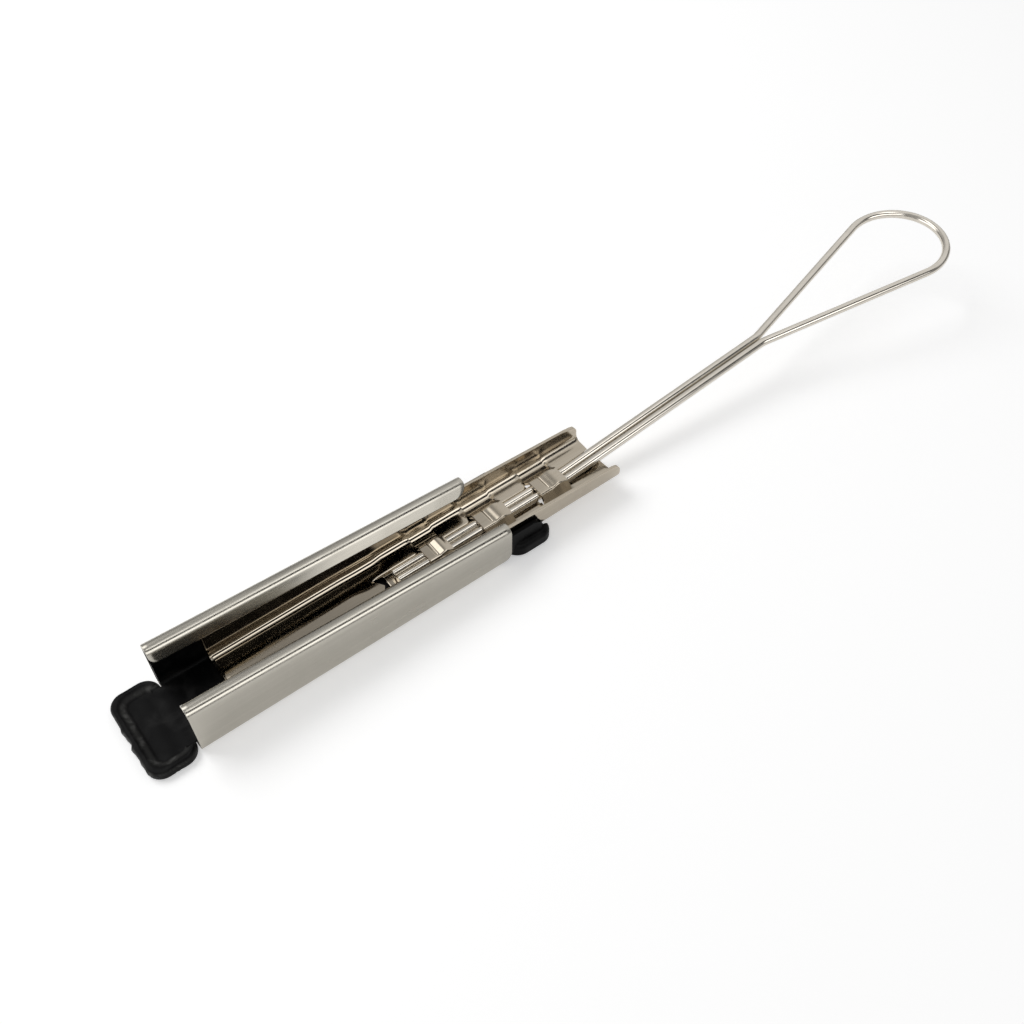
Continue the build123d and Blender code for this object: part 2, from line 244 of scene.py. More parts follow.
class NodeKit:
    """Short ways to place and join nodes in one tree."""

    def __init__(self, tree: bpy.types.NodeTree) -> None:
        """Take the tree to work in.

        Args:
            tree: a material's, world's or group's node tree.
        """
        self.tree = tree

    def add(self, kind: str, **values: object) -> bpy.types.Node:
        """Place a node and set its properties.

        Args:
            kind: the node's Blender type.
            values: properties to set on it.

        Returns:
            The new node.
        """
        node = self.tree.nodes.new(kind)
        for key, value in values.items():
            setattr(node, key, value)
        return node

    def feed(self, socket: bpy.types.NodeSocket, value: object) -> None:
        """Give an input a link or a plain value.

        Args:
            socket: the input.
            value: an output to link, or a number or colour to set.
        """
        if isinstance(value, bpy.types.NodeSocket):
            self.tree.links.new(value, socket)
        else:
            socket.default_value = value

    def maths(self, kind: str, first: object, second: object) -> bpy.types.NodeSocket:
        """Place a Math node.

        Args:
            kind: its operation.
            first: a socket or a number.
            second: a socket or a number.

        Returns:
            The node's output.
        """
        node = self.add("ShaderNodeMath", operation=kind)
        self.feed(node.inputs[0], first)
        self.feed(node.inputs[1], second)
        return node.outputs[0]

    def blend(self, share: bpy.types.NodeSocket, first: object, second: object) -> bpy.types.NodeSocket:
        """Mix two colours.

        Args:
            share: how much of the second colour shows.
            first: a socket or a colour.
            second: a socket or a colour.

        Returns:
            The mixed colour.
        """
        node = self.add("ShaderNodeMix", data_type="RGBA")
        self.feed(node.inputs[0], share)
        self.feed(node.inputs[6], first)
        self.feed(node.inputs[7], second)
        return node.outputs[2]

    def remap(self, value: bpy.types.NodeSocket, low: float, high: float) -> bpy.types.NodeSocket:
        """Map 0..1 to low..high.

        Args:
            value: the value to map.
            low: what 0 becomes.
            high: what 1 becomes.

        Returns:
            The mapped value.
        """
        node = self.add("ShaderNodeMapRange")
        self.feed(node.inputs[0], value)
        node.inputs[3].default_value = low
        node.inputs[4].default_value = high
        return node.outputs[0]

    def ramp(
        self, value: bpy.types.NodeSocket, start: float, end: float, top: float = 1.0
    ) -> bpy.types.NodeSocket:
        """Rise smoothly from 0 to top.

        Args:
            value: the value to follow.
            start: where the rise starts.
            end: where it ends.
            top: what it reaches.

        Returns:
            The risen value.
        """
        node = self.add("ShaderNodeMapRange", interpolation_type="SMOOTHSTEP")
        self.feed(node.inputs[0], value)
        node.inputs[1].default_value = start
        node.inputs[2].default_value = end
        node.inputs[4].default_value = top
        return node.outputs[0]

    def noise(
        self, vector: bpy.types.NodeSocket, scale: object, detail: float, distortion: float = 0.0
    ) -> bpy.types.NodeSocket:
        """Place a Noise Texture.

        Args:
            vector: the coordinates it reads.
            scale: a socket or a number.
            detail: its detail.
            distortion: its distortion.

        Returns:
            The noise's value.
        """
        node = self.add("ShaderNodeTexNoise")
        self.feed(node.inputs["Vector"], vector)
        self.feed(node.inputs["Scale"], scale)
        node.inputs["Detail"].default_value = detail
        node.inputs["Distortion"].default_value = distortion
        return node.outputs[0]

    def bump(self, height: bpy.types.NodeSocket, strength: float, reach: float) -> bpy.types.NodeSocket:
        """Place a Bump node.

        Args:
            height: the height it follows.
            strength: its strength.
            reach: its distance in metres.

        Returns:
            The bumped normal.
        """
        node = self.add("ShaderNodeBump")
        node.inputs["Strength"].default_value = strength
        node.inputs["Distance"].default_value = reach
        self.feed(node.inputs["Height"], height)
        return node.outputs[0]


def new_material(name: str) -> tuple[bpy.types.Material, NodeKit, bpy.types.Node]:
    """Start a material.

    Args:
        name: its name.

    Returns:
        The material, a kit for its tree and its Principled shader.
    """
    material = bpy.data.materials.new(name)
    material.use_nodes = True
    tree = material.node_tree
    return material, NodeKit(tree), tree.nodes["Principled BSDF"]


class EffectLibrary:
    """Shader node groups that are built once and placed in each finish."""

    def __init__(self) -> None:
        """Build every group."""
        self.groups = {
            Effect.GRAIN: self.grain(),
            Effect.MARKS: self.marks(),
            Effect.SPECKLE: self.speckle(),
        }

    @staticmethod
    def group(
        effect: Effect, sizes: dict[str, float], outputs: Sequence[str]
    ) -> tuple[NodeKit, bpy.types.NodeOutputs, bpy.types.NodeInputs]:
        """Make a group with a Vector input and named values.

        Args:
            effect: which effect it is.
            sizes: names of the value inputs and their defaults.
            outputs: names of the value outputs.

        Returns:
            A kit for its tree, the sockets it gets and the sockets it gives.
        """
        tree = bpy.data.node_groups.new(effect.value, "ShaderNodeTree")
        face = tree.interface
        face.new_socket(name="Vector", in_out="INPUT", socket_type="NodeSocketVector")
        for label, default in sizes.items():
            socket = face.new_socket(name=label, in_out="INPUT", socket_type="NodeSocketFloat")
            socket.default_value = default
        for label in outputs:
            face.new_socket(name=label, in_out="OUTPUT", socket_type="NodeSocketFloat")
        kit = NodeKit(tree)
        return kit, kit.add("NodeGroupInput").outputs, kit.add("NodeGroupOutput").inputs

    def grain(self) -> bpy.types.NodeTree:
        """Fine lines along the rolling or drawing direction.

        Returns:
            A group with Vector, Across and Along inputs and Height and Tone outputs.
        """
        sizes = {"Across": 4000.0, "Along": 60.0}
        kit, given, result = self.group(Effect.GRAIN, sizes, ("Height", "Tone"))
        scale = kit.add("ShaderNodeCombineXYZ")
        for socket, label in zip(scale.inputs, ("Along", "Across", "Across")):
            kit.feed(socket, given[label])
        stretch = kit.add("ShaderNodeVectorMath", operation="MULTIPLY")
        kit.feed(stretch.inputs[0], given["Vector"])
        kit.feed(stretch.inputs[1], scale.outputs[0])
        fine = kit.noise(stretch.outputs[0], scale=1.0, detail=3.0)
        broad = kit.noise(stretch.outputs[0], scale=0.17, detail=2.0)
        kit.feed(result["Height"], fine)
        tone = kit.maths("MULTIPLY", kit.maths("ADD", fine, broad), 0.5)
        kit.feed(result["Tone"], kit.remap(tone, -0.35, 1.35))
        return kit.tree

    def marks(self) -> bpy.types.NodeTree:
        """Soft dull patches left by handling and pressing.

        Returns:
            A group with Vector and Size inputs and a Mask output.
        """
        kit, given, result = self.group(Effect.MARKS, {"Size": 110.0}, ("Mask",))
        cloud = kit.noise(given["Vector"], given["Size"], detail=4.0, distortion=0.6)
        kit.feed(result["Mask"], kit.ramp(cloud, 0.42, 0.72))
        return kit.tree

    def speckle(self) -> bpy.types.NodeTree:
        """Fine even texture of a moulded skin.

        Returns:
            A group with Vector and Size inputs and a Height output.
        """
        kit, given, result = self.group(Effect.SPECKLE, {"Size": 2600.0}, ("Height",))
        kit.feed(result["Height"], kit.noise(given["Vector"], given["Size"], detail=2.0))
        return kit.tree

    def place(
        self, kit: NodeKit, effect: Effect, vector: bpy.types.NodeSocket, **sizes: float
    ) -> bpy.types.NodeOutputs:
        """Put a group into a material.

        Args:
            kit: the material's node kit.
            effect: which group.
            vector: the coordinates it reads.
            sizes: values of its named inputs.

        Returns:
            The group's outputs.
        """
        node = kit.add("ShaderNodeGroup", node_tree=self.groups[effect])
        kit.feed(node.inputs["Vector"], vector)
        for label, value in sizes.items():
            node.inputs[label].default_value = value
        return node.outputs


@dataclass(frozen=True)
class Steel:
    """Stainless finish with a drawn grain and soft handling marks; places and depths are in metres."""

    name: str
    tint: Colour
    shade: Colour
    smooth: float
    dull: float
    grain_across: float
    grain_along: float
    grain_depth: float
    mark_size: float
    mark_shade: float = 0.35
    mark_dull: float = 0.06
    bump_reach: float = 0.00004
    handled: float = 0.0
    handled_from: float = 0.026
    handled_to: float = 0.050

    def build(self, library: EffectLibrary) -> bpy.types.Material:
        """Make the material.

        Args:
            library: the shared effects.

        Returns:
            The finished material.
        """
        material, kit, shader = new_material(self.name)
        shader.inputs["Metallic"].default_value = 1.0
        tint, shade = (*self.tint, 1.0), (*self.shade, 1.0)
        place = kit.add("ShaderNodeTexCoord").outputs["Object"]
        grain = library.place(kit, Effect.GRAIN, place, Across=self.grain_across, Along=self.grain_along)
        marks = library.place(kit, Effect.MARKS, place, Size=self.mark_size)["Mask"]
        body = kit.blend(grain["Tone"], shade, tint)
        worn = kit.blend(kit.maths("MULTIPLY", marks, self.mark_shade), body, shade)
        kit.feed(shader.inputs["Base Color"], worn)
        rough = kit.remap(grain["Tone"], self.smooth, self.dull)
        rough = kit.maths("ADD", rough, kit.maths("MULTIPLY", marks, self.mark_dull))
        if self.handled:
            rough = kit.maths("ADD", rough, self.dulling(kit, place))
        kit.feed(shader.inputs["Roughness"], rough)
        kit.feed(shader.inputs["Normal"], kit.bump(grain["Height"], self.grain_depth, self.bump_reach))
        return material

    def dulling(self, kit: NodeKit, place: bpy.types.NodeSocket) -> bpy.types.NodeSocket:
        """Extra roughness towards the end that hands hold.

        Args:
            kit: the material's node kit.
            place: the object coordinates.

        Returns:
            The roughness to add.
        """
        split = kit.add("ShaderNodeSeparateXYZ")
        kit.feed(split.inputs[0], place)
        return kit.ramp(split.outputs[0], self.handled_from, self.handled_to, self.handled)


@dataclass(frozen=True)
class Moulding:
    """Black moulded finish with a satin skin, greyed by a painted sheen where the piece's sheen attribute
    says so.
    """

    name: str
    tint: Colour
    # Pale grey of the painted sheen on the tab's slopes and of the random handling marks.
    sheen_and_scuff: Colour
    smooth: float
    dull: float
    gloss: float
    mark_size: float = 160.0
    mark_grey: float = 0.12
    streak_size: float = 330.0
    streak_least: float = 0.25
    skin_size: float = 2400.0
    skin_depth: float = 0.12
    bump_reach: float = 0.00006

    def build(self, library: EffectLibrary) -> bpy.types.Material:
        """Make the material.

        Args:
            library: the shared effects.

        Returns:
            The finished material.
        """
        material, kit, shader = new_material(self.name)
        shader.inputs["Specular IOR Level"].default_value = self.gloss
        place = kit.add("ShaderNodeTexCoord").outputs["Object"]
        marks = library.place(kit, Effect.MARKS, place, Size=self.mark_size)["Mask"]
        streaks = library.place(kit, Effect.MARKS, place, Size=self.streak_size)["Mask"]
        skin = library.place(kit, Effect.SPECKLE, place, Size=self.skin_size)["Height"]
        # Painted sheen: grey painted onto the tab's slopes where the liner's sheen attribute marks them,
        # broken into streaks.
        painted_sheen = kit.add("ShaderNodeAttribute", attribute_name="painted_sheen").outputs["Fac"]
        grey = kit.maths("MULTIPLY", painted_sheen, kit.remap(streaks, self.streak_least, 1.0))
        grey = kit.maths("ADD", grey, kit.maths("MULTIPLY", marks, self.mark_grey))
        colour = kit.blend(grey, (*self.tint, 1.0), (*self.sheen_and_scuff, 1.0))
        kit.feed(shader.inputs["Base Color"], colour)
        kit.feed(shader.inputs["Roughness"], kit.remap(marks, self.smooth, self.dull))
        kit.feed(shader.inputs["Normal"], kit.bump(skin, self.skin_depth, self.bump_reach))
        return material


SHELL_STEEL = Steel(
    name="satin_sheet",
    tint=(0.485, 0.462, 0.41),
    shade=(0.40, 0.378, 0.33),
    smooth=0.175,
    dull=0.255,
    grain_across=3800.0,
    grain_along=45.0,
    grain_depth=0.02,
    mark_size=95.0,
)
WEDGE_STEEL = Steel(
    name="bright_sheet",
    tint=(0.49, 0.442, 0.367),
    shade=(0.405, 0.352, 0.278),
    smooth=0.05,
    dull=0.085,
    grain_across=3200.0,
    grain_along=40.0,
    grain_depth=0.008,
    mark_size=140.0,
    handled=0.075,
)
WIRE_STEEL = Steel(
    name="drawn_wire",
    tint=(0.71, 0.67, 0.605),
    shade=(0.57, 0.53, 0.465),
    smooth=0.10,
    dull=0.18,
    grain_across=4500.0,
    grain_along=30.0,
    grain_depth=0.02,
    mark_size=160.0,
)
LINER_BLACK = Moulding(
    name="black_moulding",
    tint=(0.002, 0.002, 0.0022),
    # Pale grey for the painted sheen on the tab's slopes and for the handling marks.
    sheen_and_scuff=(0.085, 0.084, 0.081),
    smooth=0.36,
    dull=0.50,
    gloss=0.06,
)


@dataclass
class Shell:
    """Sheet folded up into a tapered trough whose lips roll over the wedge."""

    length: float = 86.0
    width: float = 23.2
    height_entry: float = 16.5
    height_exit: float = 12.8
    sheet: float = 0.8
    edge: float = 0.14
    fold: float = 2.6
    lip_flat: float = 2.57
    roll: float = 2.0
    slope: float = 70.0
    slope_open: float = 16.0
    open_from: float = 0.12
    open_run: float = 0.5
    corner_entry: float = 1.8
    corner_exit: float = 3.6
    wall_corner: float = 5.0
    wave: float = 0.02
    rows: int = 64
    lip_steps: int = 12
    roll_steps: int = 26
    wall_steps: int = 10
    fold_steps: int = 12
    floor_steps: int = 6

    def half_profile(self, share: float) -> list[Point]:
        """Outer face of one side at the entry's height, from the lip's edge to the middle of the floor.

        Args:
            share: place along the shell, 0 at the entry and 1 at the exit.

        Returns:
            Points of distance from the middle, height, and share of the taper.
        """
        slope = self.slope - self.slope_open * ease((share - self.open_from) / self.open_run)
        cosine, sine = math.cos(math.radians(slope)), math.sin(math.radians(slope))
        half = self.width / 2
        roll_y, roll_z = half - self.roll, self.height_entry - self.roll
        out_y, out_z = roll_y - self.roll * sine, roll_z + self.roll * cosine
        points = []
        for reach in spread(self.lip_flat, 0, self.lip_steps)[:-1]:
            points.append((out_y - reach * cosine, out_z - reach * sine, 1.0))
        for across, up in arc(90 + slope, 0, self.roll_steps):
            points.append((roll_y + self.roll * across, roll_z + self.roll * up, 1.0))
        for drop in spread(0, 1, self.wall_steps)[1:-1]:
            points.append((half, roll_z + (self.fold - roll_z) * drop, 1.0 - drop))
        for across, up in arc(0, -90, self.fold_steps):
            points.append((half - self.fold * (1 - across), self.fold * (1 + up), 0.0))
        for y in spread(half - self.fold, 0, self.floor_steps)[1:]:
            points.append((y, 0.0, 0.0))
        return points

    def ends(self) -> list[tuple[float, float]]:
        """Ends of every line of one side, after the corners are rounded.

        Returns:
            Start and end in X, in the order of half_profile.
        """
        found = []
        reach = 0.0
        profile = self.half_profile(0.0)
        for (last_y, last_z, _), (y, z, lift) in zip(profile[:1] + profile, profile):
            reach += math.hypot(y - last_y, z - last_z)
            start, end = -self.length / 2, self.length / 2
            if lift == 1.0:
                start += rounding(reach, self.corner_entry)
                end -= rounding(reach, self.corner_exit)
            else:
                end -= rounding(z, self.wall_corner)
            found.append((start, end))
        return found

    def slack(self, share: float, z: float) -> float:
        """How far a slight irregular wave draws the sheet inwards at one place along it and up it."""
        return self.wave * math.sin(9.0 * share + 0.4 * z) * math.sin(4.1 * share + 1.0)

    def build(self) -> bpy.types.Object:
        """Make the folded sheet.

        Returns:
            The piece, thickened, with broken edges.
        """
        ends = self.ends()
        fall = self.height_exit - self.height_entry
        rows = []
        for step in spread(0, 1, self.rows):
            half = []
            for (y, z, lift), (start, end) in zip(self.half_profile(step), ends):
                x = start + (end - start) * step
                share = (x + self.length / 2) / self.length
                half.append((x, y - lift * self.slack(share, z), z + lift * fall * share))
            rows.append([(x, -y, z) for x, y, z in half] + half[-2::-1])
        sheet = SheetMesh()
        sheet.patch(rows, flip=True)
        piece = sheet.finish("shell_skin")
        thicken(piece, self.sheet, self.edge)
        return piece


@dataclass
class Wedge:
    """Pressed channel that slides in the shell, with straps lanced from its floor over the bail's legs.

    A point of it is u along its floor, y across it and w above it.
    """

    start_x: float = -30.8
    start_z: float = 2.52
    length: float = 111.4
    tilt: float = 0.8
    sheet: float = 0.8
    edge: float = 0.12
    half: float = 9.25
    corner: float = 2.2
    corner_steps: int = 10
    wall_steps: int = 9
    top_at_exit: float = 10.7
    top_fall: float = 0.03
    exit_x: float = 43.0
    end_corner: float = 2.4
    # Stations across one side of the lanced band, whose last one is the band's half width.
    columns: tuple[float, ...] = (
        0.3, 0.55, 1.1, 1.65, 2.1, 2.45, 2.7, 2.85, 3.0, 3.15, 3.5, 3.9, 4.3, 4.7, 5.02, 5.336,
    )
    ledge_columns: tuple[float, ...] = (5.6, 5.9)
    step: float = 0.8
    strap_step: float = 0.16
    straps: tuple[tuple[float, float], ...] = ((55.5, 62.4), (71.9, 80.7), (90.2, 99.0))
    strap_rise: float = 2.6
    strap_top: float = 2.6
    strap_root: float = 5.0
    strap_bend: float = 0.14
    pad_start: float = 0.4
    pad_crown: float = 0.45
    pad_fullness: float = 1.6
    tail_start: float = 0.8
    tail_drop: float = 0.12
    crease_place: float = 0.34
    crease_depth: float = 0.24
    crease_width: float = 0.17
    crease_end: float = -2.3
    crease_fade: float = 0.8
    wall_draw: float = 0.1
    draw_along: float = 1.6
    draw_across: float = 1.8
    draw_below_top: float = 3.0
    lance: float = 0.3
    saddle_drop: float = 0.7
    saddle_half: float = 2.85
    saddle_set: float = 0.15
    saddle_bend: float = 0.45
    saddle_lead: float = 10.9
    saddle_tail: float = 8.6
    saddle_fade: float = 1.2
    ledge_rise: float = 0.28
    ledge_start: float = 3.15
    ledge_run: float = 3.1
    ledge_lead: float = 3.0
    floor_dish: float = 0.11
    dish_half: float = 3.6
    dish_fade: float = 6.0
    lead_drop: float = 0.13
    lead_run: float = 0.75
    lead_steps: int = 5
    window: float = 3.0
    window_point: float = 0.6
    window_margin: float = 1.0
    slot: tuple[float, float] = (4.2, 6.8)
    slot_sides: tuple[float, float] = (-1.65, -0.55)
    tongue_narrow: float = 0.165
    tongue_neck: float = 0.2
    tongue_gap: float = 0.5
    tongue_lift: float = 0.03
    tongue_rise: float = 0.5
    tongue_run: float = 2.1
    tongue_steps: int = 4

    @property
    def band(self) -> float:
        """Half width of the lanced band."""
        return self.columns[-1]

    @property
    def band_start(self) -> float:
        """Where the pressed saddles start."""
        return self.straps[0][0] - self.saddle_lead

    @property
    def window_start(self) -> float:
        """Where the pointed window in the floor starts."""
        return self.band_start - self.window

    @property
    def band_end(self) -> float:
        """Where the pressed saddles end."""
        return self.straps[-1][1] + self.saddle_tail

    def at(self, u: float, y: float, w: float) -> Point:
        """Turn the wedge's own length and height into the clamp's frame.

        Args:
            u: station along the wedge.
            y: station across it.
            w: height above its floor.

        Returns:
            The point in the clamp's frame.
        """
        cosine, sine = math.cos(math.radians(self.tilt)), math.sin(math.radians(self.tilt))
        return (self.start_x + u * cosine - w * sine, y, self.start_z + u * sine + w * cosine)

    def wall_height(self, u: float) -> float:
        """Height of the wall above the floor.

        Args:
            u: station along the wedge.

        Returns:
            The height.
        """
        x, _, z = self.at(u, 0, 0)
        top = self.top_at_exit - self.top_fall * (x - self.exit_x)
        return (top - z) / math.cos(math.radians(self.tilt))

    def band_columns(self) -> list[float]:
        """Stations across the lanced band, from one side to the other."""
        return [-y for y in reversed(self.columns)] + [0.0] + list(self.columns)

    def strap_fall(self, y: float) -> float:
        """Fall of a strap's shoulder, from 0 on its pad to 1 at its root, with round bends.

        Args:
            y: station across the wedge.

        Returns:
            The share of the fall.
        """
        across = (abs(y) - self.strap_top) / (self.strap_root - self.strap_top)
        bend = self.strap_bend
        if across <= -bend:
            return 0.0
        if across < bend:
            return (across + bend) ** 2 / (4 * bend)
        if across <= 1 - bend:
            return across
        return 1.0 - max(0.0, 1 + bend - across) ** 2 / (4 * bend)

    def strap_height(self, u: float, y: float, start: float, end: float) -> float:
        """Top face of a strap: shoulders, a crease and a crowned pad.

        Args:
            u: station along the wedge.
            y: station across it.
            start: where the strap starts.
            end: where it ends.

        Returns:
            Height above the floor.
        """
        share = (u - start) / (end - start)
        pad = min(1.0, max(0.0, (share - self.pad_start) / (1 - self.pad_start)))
        top = self.strap_rise + self.pad_crown * math.sin(math.pi * pad) ** self.pad_fullness
        top -= self.tail_drop * ease((share - self.tail_start) / (1 - self.tail_start))
        crease = (share - self.crease_place) * (end - start) / self.crease_width
        top -= self.crease_depth * math.exp(-(crease**2)) * ease((y - self.crease_end) / self.crease_fade)
        root = self.ledge(u, y)
        return root + (top - root) * (1.0 - self.strap_fall(y))

    def strapped(self, u: float, run: float) -> float:
        """1 beside a strap and 0 between two, with a soft change.

        Args:
            u: station along the wedge.
            run: length of the change.

        Returns:
            The share of a strap at this station.
        """
        share = 0.0
        for start, end in self.straps:
            share += ease((u - start) / run + 0.5) * ease((end - u) / run + 0.5)
        return share

    def ledge(self, u: float, y: float) -> float:
        """Rise of the floor: a lead-in at the entry, then a shallow dish, then slopes between the straps.

        Args:
            u: station along the wedge.
            y: station across it.

        Returns:
            Height above the flat floor.
        """
        dish_end = self.window_start - self.window_margin
        dish = self.floor_dish * ease(abs(y) / self.dish_half) * ease((dish_end - u) / self.dish_fade)
        across = min(1.0, max(0.0, (abs(y) - self.ledge_start) / self.ledge_run))
        along = ease((u - self.band_start) / self.ledge_lead) * (1.0 - self.strapped(u, 1.0))
        lead = self.lead_drop * (1.0 - ease(u / self.lead_run))
        return dish + self.ledge_rise * across * along - lead

    def saddle_height(self, u: float, y: float) -> float:
        """Trough that the bail's legs lie in, between the straps.

        Args:
            u: station along the wedge.
            y: station across it.

        Returns:
            Height above the flat floor, which fades to the floor's own height past the last saddle.
        """
        out = abs(y) - self.saddle_half + self.saddle_set
        kept = 1.0 - ease((u - self.band_end) / self.saddle_fade)
        return self.ledge(u, y) - kept * self.saddle_drop * (1.0 - ease(out / self.saddle_bend))

    def spans(self) -> list[tuple[float, float, bool]]:
        """Saddles and straps in order along the wedge.

        Returns:
            Start, end and whether the span is a strap.
        """
        found = []
        start = self.band_start
        for strap_start, strap_end in self.straps:
            found.append((start, strap_start - self.lance, False))
            found.append((strap_start, strap_end, True))
            start = strap_end + self.lance
        found.append((start, self.band_end, False))
        return found

    def stations(self) -> list[float]:
        """Every station along the wedge at which the side strips have a row.

        Returns:
            The stations in order, closer together beside the straps.
        """
        marks = [*self.slot, self.window_start - self.window_margin, self.window_start]
        marks += spread(0, self.lead_run, self.lead_steps)
        for start, end, _ in self.spans():
            marks += [start, end]
        marks += [self.band_end + self.saddle_fade, self.length]
        marks = sorted(set(marks))
        stations = [marks[0]]
        for low, high in zip(marks, marks[1:]):
            strap = any(start - SAME <= low and high <= end + SAME for start, end in self.straps)
            step = self.strap_step if strap else self.step
            stations += spread(low, high, max(1, round((high - low) / step)))[1:]
        return stations

    def between(self, low: float, high: float) -> list[float]:
        """The stations from low to high, both included."""
        return [u for u in self.stations() if low - SAME <= u <= high + SAME]

    def side_row(self, u: float, side: int) -> list[Point]:
        """One row of a side strip, from the lanced band to the top of the wall.

        Args:
            u: station along the wedge.
            side: 1 for the far wall, -1 for the near one.

        Returns:
            The row's points.
        """
        flat = self.half - self.sheet - self.corner
        top = self.wall_height(u)
        profile = [(y, self.ledge(u, y)) for y in (self.band, *self.ledge_columns, flat)]
        lift = self.ledge(u, flat)
        for across, up in arc(-90, 0, self.corner_steps)[1:]:
            rise = self.corner * (1 + up)
            profile.append((flat + self.corner * across, rise + lift * (1 - rise / self.corner)))
        profile += [(flat + self.corner, w) for w in spread(self.corner, top, self.wall_steps)[1:]]
        rounded = 2 * self.end_corner
        share = ease((u - self.length + rounded) / rounded)
        draw = self.wall_draw * self.strapped(u, self.draw_along)
        row = []
        for y, w in profile:
            back = share * rounding(top - w, self.end_corner)
            inward = draw * ease((y - self.band) / self.draw_across)
            inward *= ease((top - w) / self.draw_below_top)
            row.append(self.at(u - back, side * (y - inward), w))
        return row if side > 0 else row[::-1]

    def add_entry_floor(self, sheet: SheetMesh) -> None:
        """Add the floor from the entry to the window, with the slot and its tongue.

        Args:
            sheet: the sheet to add to.
        """
        columns = self.band_columns()
        start, end = self.slot
        near, far = self.slot_sides
        strips = (
            (columns, 0.0, start),
            (columns, end, self.window_start - self.window_margin),
            ([y for y in columns if y <= near], start, end),
            ([y for y in columns if y >= far], start, end),
        )
        for strip, low, high in strips:
            stations = self.between(low, high)
            sheet.patch([[self.at(u, y, self.ledge(u, y)) for y in strip] for u in stations])
        middle = (near + far) / 2
        rows = [[self.at(end, y, self.ledge(end, y)) for y in (far, middle, near)]]
        tongue = (far - self.tongue_narrow, middle, near + self.tongue_narrow)
        for u in spread(end - self.tongue_neck, start + self.tongue_gap, self.tongue_steps):
            rise = self.tongue_lift + self.tongue_rise * ease((end - u) / self.tongue_run)
            rows.append([self.at(u, y, rise) for y in tongue])
        sheet.patch(rows)

    def add_window(self, sheet: SheetMesh) -> None:
        """Add the floor round the pointed window.

        Args:
            sheet: the sheet to add to.
        """
        columns = self.band_columns()
        margin = self.window_start - self.window_margin
        root = []
        tip = []
        for y in columns:
            if abs(y) <= self.saddle_half:
                reach = self.window_point * self.window * (1 - abs(y) / self.saddle_half)
                root.append(self.at(margin, y, 0.0))
                tip.append(self.at(self.window_start + reach, y, 0.0))
        sheet.patch([root, tip])
        for side in (-1, 1):
            strip = [y for y in columns if side * y >= self.saddle_half]
            rows = []
            for u in self.between(margin, self.band_start):
                pressed = ease((u - self.window_start) / self.window)
                rows.append([self.at(u, y, pressed * self.saddle_height(u, y)) for y in strip])
            sheet.patch(rows)

    def add_band(self, sheet: SheetMesh) -> None:
        """Add the straps and saddles, and the floor from the last saddle to the exit.

        Args:
            sheet: the sheet to add to.
        """
        columns = self.band_columns()
        for start, end, is_strap in [*self.spans(), (self.band_end, self.length, False)]:
            rows = []
            for u in self.between(start, end):
                if is_strap:
                    heights = [self.strap_height(u, y, start, end) for y in columns]
                else:
                    heights = [self.saddle_height(u, y) for y in columns]
                rows.append([self.at(u, y, w) for y, w in zip(columns, heights)])
            sheet.patch(rows)

    def build(self) -> bpy.types.Object:
        """Make the pressed channel.

        Returns:
            The piece, thickened, with broken edges.
        """
        sheet = SheetMesh()
        for side in (-1, 1):
            sheet.patch([self.side_row(u, side) for u in self.stations()])
        self.add_entry_floor(sheet)
        self.add_window(sheet)
        self.add_band(sheet)
        piece = sheet.finish("wedge_skin")
        thicken(piece, self.sheet, self.edge)
        return piece


